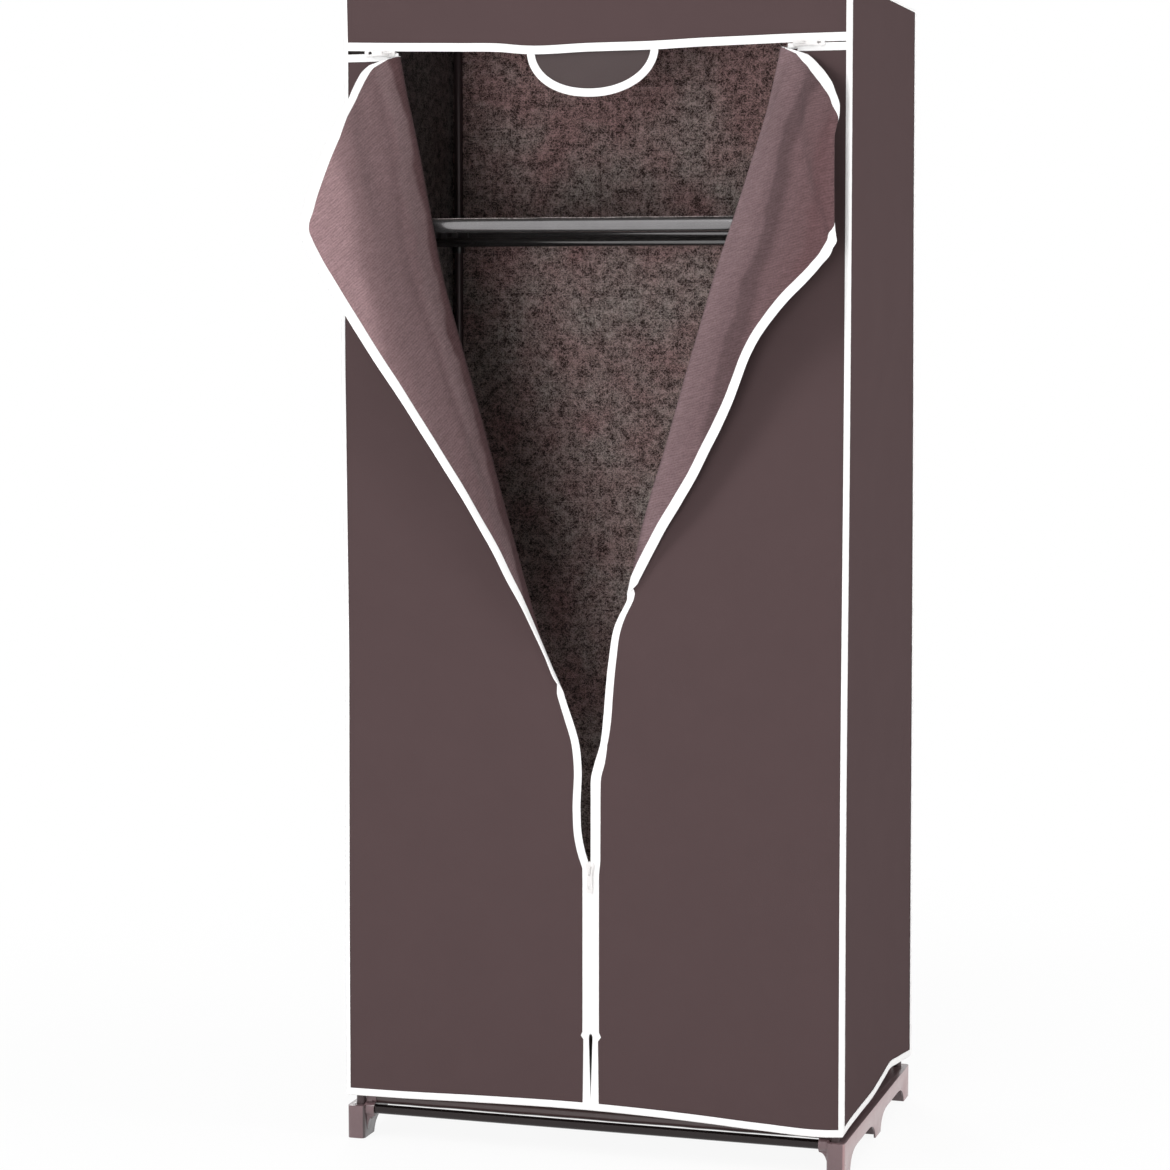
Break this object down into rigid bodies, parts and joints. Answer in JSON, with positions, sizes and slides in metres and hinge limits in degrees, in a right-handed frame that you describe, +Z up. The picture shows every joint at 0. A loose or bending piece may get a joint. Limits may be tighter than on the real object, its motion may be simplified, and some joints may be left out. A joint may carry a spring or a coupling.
{
  "type": "portable fabric wardrobe",
  "caption": "Free-standing fabric wardrobe: tube frame on two moulded base rails under a zipped cloth cover, its two doors opened and folded outwards, with a shelf and a hanging rail.",
  "frame": {"origin": "centre of the whole object's footprint box on the floor, with the doors folded open as stored; the middle of the tube frame lies 72.75 mm behind it", "axes": "+Z up, the front of the wardrobe faces -Y, +X to the right of someone who faces the front"},
  "size_m": [0.7224, 0.6054, 1.5815],
  "materials": {
    "cover_cloth": "matte non-woven cloth",
    "lining_cloth": "inner face of the cover cloth, fine diagonal weave",
    "base_cloth": "coated brown cloth, slightly glossy",
    "tab_cloth": "thin grey cloth",
    "binding_tape": "white woven edge tape",
    "moulded_plastic": "satin moulded",
    "frame_tube": "glossy grey coated steel tube",
    "zip_coil": "dark woven tape with moulded teeth",
    "zip_metal": "plated"
  },
  "bodies": {
    "root": {"base_rail_left": "moulded_plastic", "base_rail_right": "moulded_plastic", "base_tube_front": "frame_tube", "base_tube_rear": "frame_tube", "base_sheet_tube_front": "frame_tube", "base_sheet_tube_rear": "frame_tube", "base_sheet": "base_cloth", "post_lower_front_left": "frame_tube", "post_middle_front_left": "frame_tube", "post_upper_front_left": "frame_tube", "post_lower_rear_left": "frame_tube", "post_middle_rear_left": "frame_tube", "post_upper_rear_left": "frame_tube", "post_lower_front_right": "frame_tube", "post_middle_front_right": "frame_tube", "post_upper_front_right": "frame_tube", "post_lower_rear_right": "frame_tube", "post_middle_rear_right": "frame_tube", "post_upper_rear_right": "frame_tube", "post_coupler_front_left": "moulded_plastic", "post_coupler_rear_left": "moulded_plastic", "post_coupler_front_right": "moulded_plastic", "post_coupler_rear_right": "moulded_plastic", "shelf_bracket_left": "moulded_plastic", "shelf_bracket_right": "moulded_plastic", "shelf_tube_front": "frame_tube", "shelf_tube_rear": "frame_tube", "hanging_rail": "frame_tube", "shelf_sheet": "lining_cloth", "top_bracket_left": "moulded_plastic", "top_bracket_right": "moulded_plastic", "top_tube_front": "frame_tube", "top_tube_rear": "frame_tube", "cover_top": "cover_cloth", "cover_back": "cover_cloth", "cover_left": "cover_cloth", "cover_right": "cover_cloth", "cover_header": "cover_cloth", "header_tab": "tab_cloth", "cover_binding": "binding_tape", "header_binding": "binding_tape", "door_left": "cover_cloth", "door_right": "cover_cloth", "door_binding_left": "binding_tape", "door_binding_right": "binding_tape", "zip_tape_left": "zip_coil", "zip_tape_right": "zip_coil", "zip_top_left": "zip_coil", "zip_top_right": "zip_coil"},
    "door_flap_left": {"flap_left": "lining_cloth", "flap_binding_left": "binding_tape"},
    "door_flap_right": {"flap_right": "lining_cloth", "flap_binding_right": "binding_tape"},
    "centre_slider": {"slider_centre": "zip_metal"},
    "left_slider": {"slider_left": "zip_metal"},
    "right_slider": {"slider_right": "zip_metal"},
    "centre_pull": {"pull_centre": "zip_metal"},
    "left_pull": {"pull_left": "zip_metal"},
    "right_pull": {"pull_right": "zip_metal"}
  },
  "joints": [
    {"name": "left_fold", "type": "hinge", "parent": "root", "child": "door_flap_left", "pos_m": [-0.268, -0.16275, 1.489], "axis": [-0.2563, 0, 0.9666], "range_deg": [-42, 124]},
    {"name": "right_fold", "type": "hinge", "parent": "root", "child": "door_flap_right", "pos_m": [0.265, -0.16275, 1.489], "axis": [-0.2858, 0, -0.9583], "range_deg": [-28, 124]},
    {"name": "centre_zip", "type": "slide", "parent": "root", "child": "centre_slider", "axis": [0, 0, 1], "range_m": [-0.224, 0]},
    {"name": "left_zip", "type": "slide", "parent": "root", "child": "left_slider", "axis": [1, 0, 0], "range_m": [0, 0.185]},
    {"name": "right_zip", "type": "slide", "parent": "root", "child": "right_slider", "axis": [-1, 0, 0], "range_m": [0, 0.185]},
    {"name": "centre_pull_swing", "type": "hinge", "parent": "centre_slider", "child": "centre_pull", "pos_m": [0, -0.15735, 0.399], "axis": [-1, 0, 0], "range_deg": [0, 170]},
    {"name": "left_pull_swing", "type": "hinge", "parent": "left_slider", "child": "left_pull", "pos_m": [-0.285, -0.15735, 1.50075], "axis": [0, 0, 1], "range_deg": [0, 170]},
    {"name": "right_pull_swing", "type": "hinge", "parent": "right_slider", "child": "right_pull", "pos_m": [0.285, -0.15735, 1.50075], "axis": [0, 0, -1], "range_deg": [0, 170]}
  ]
}
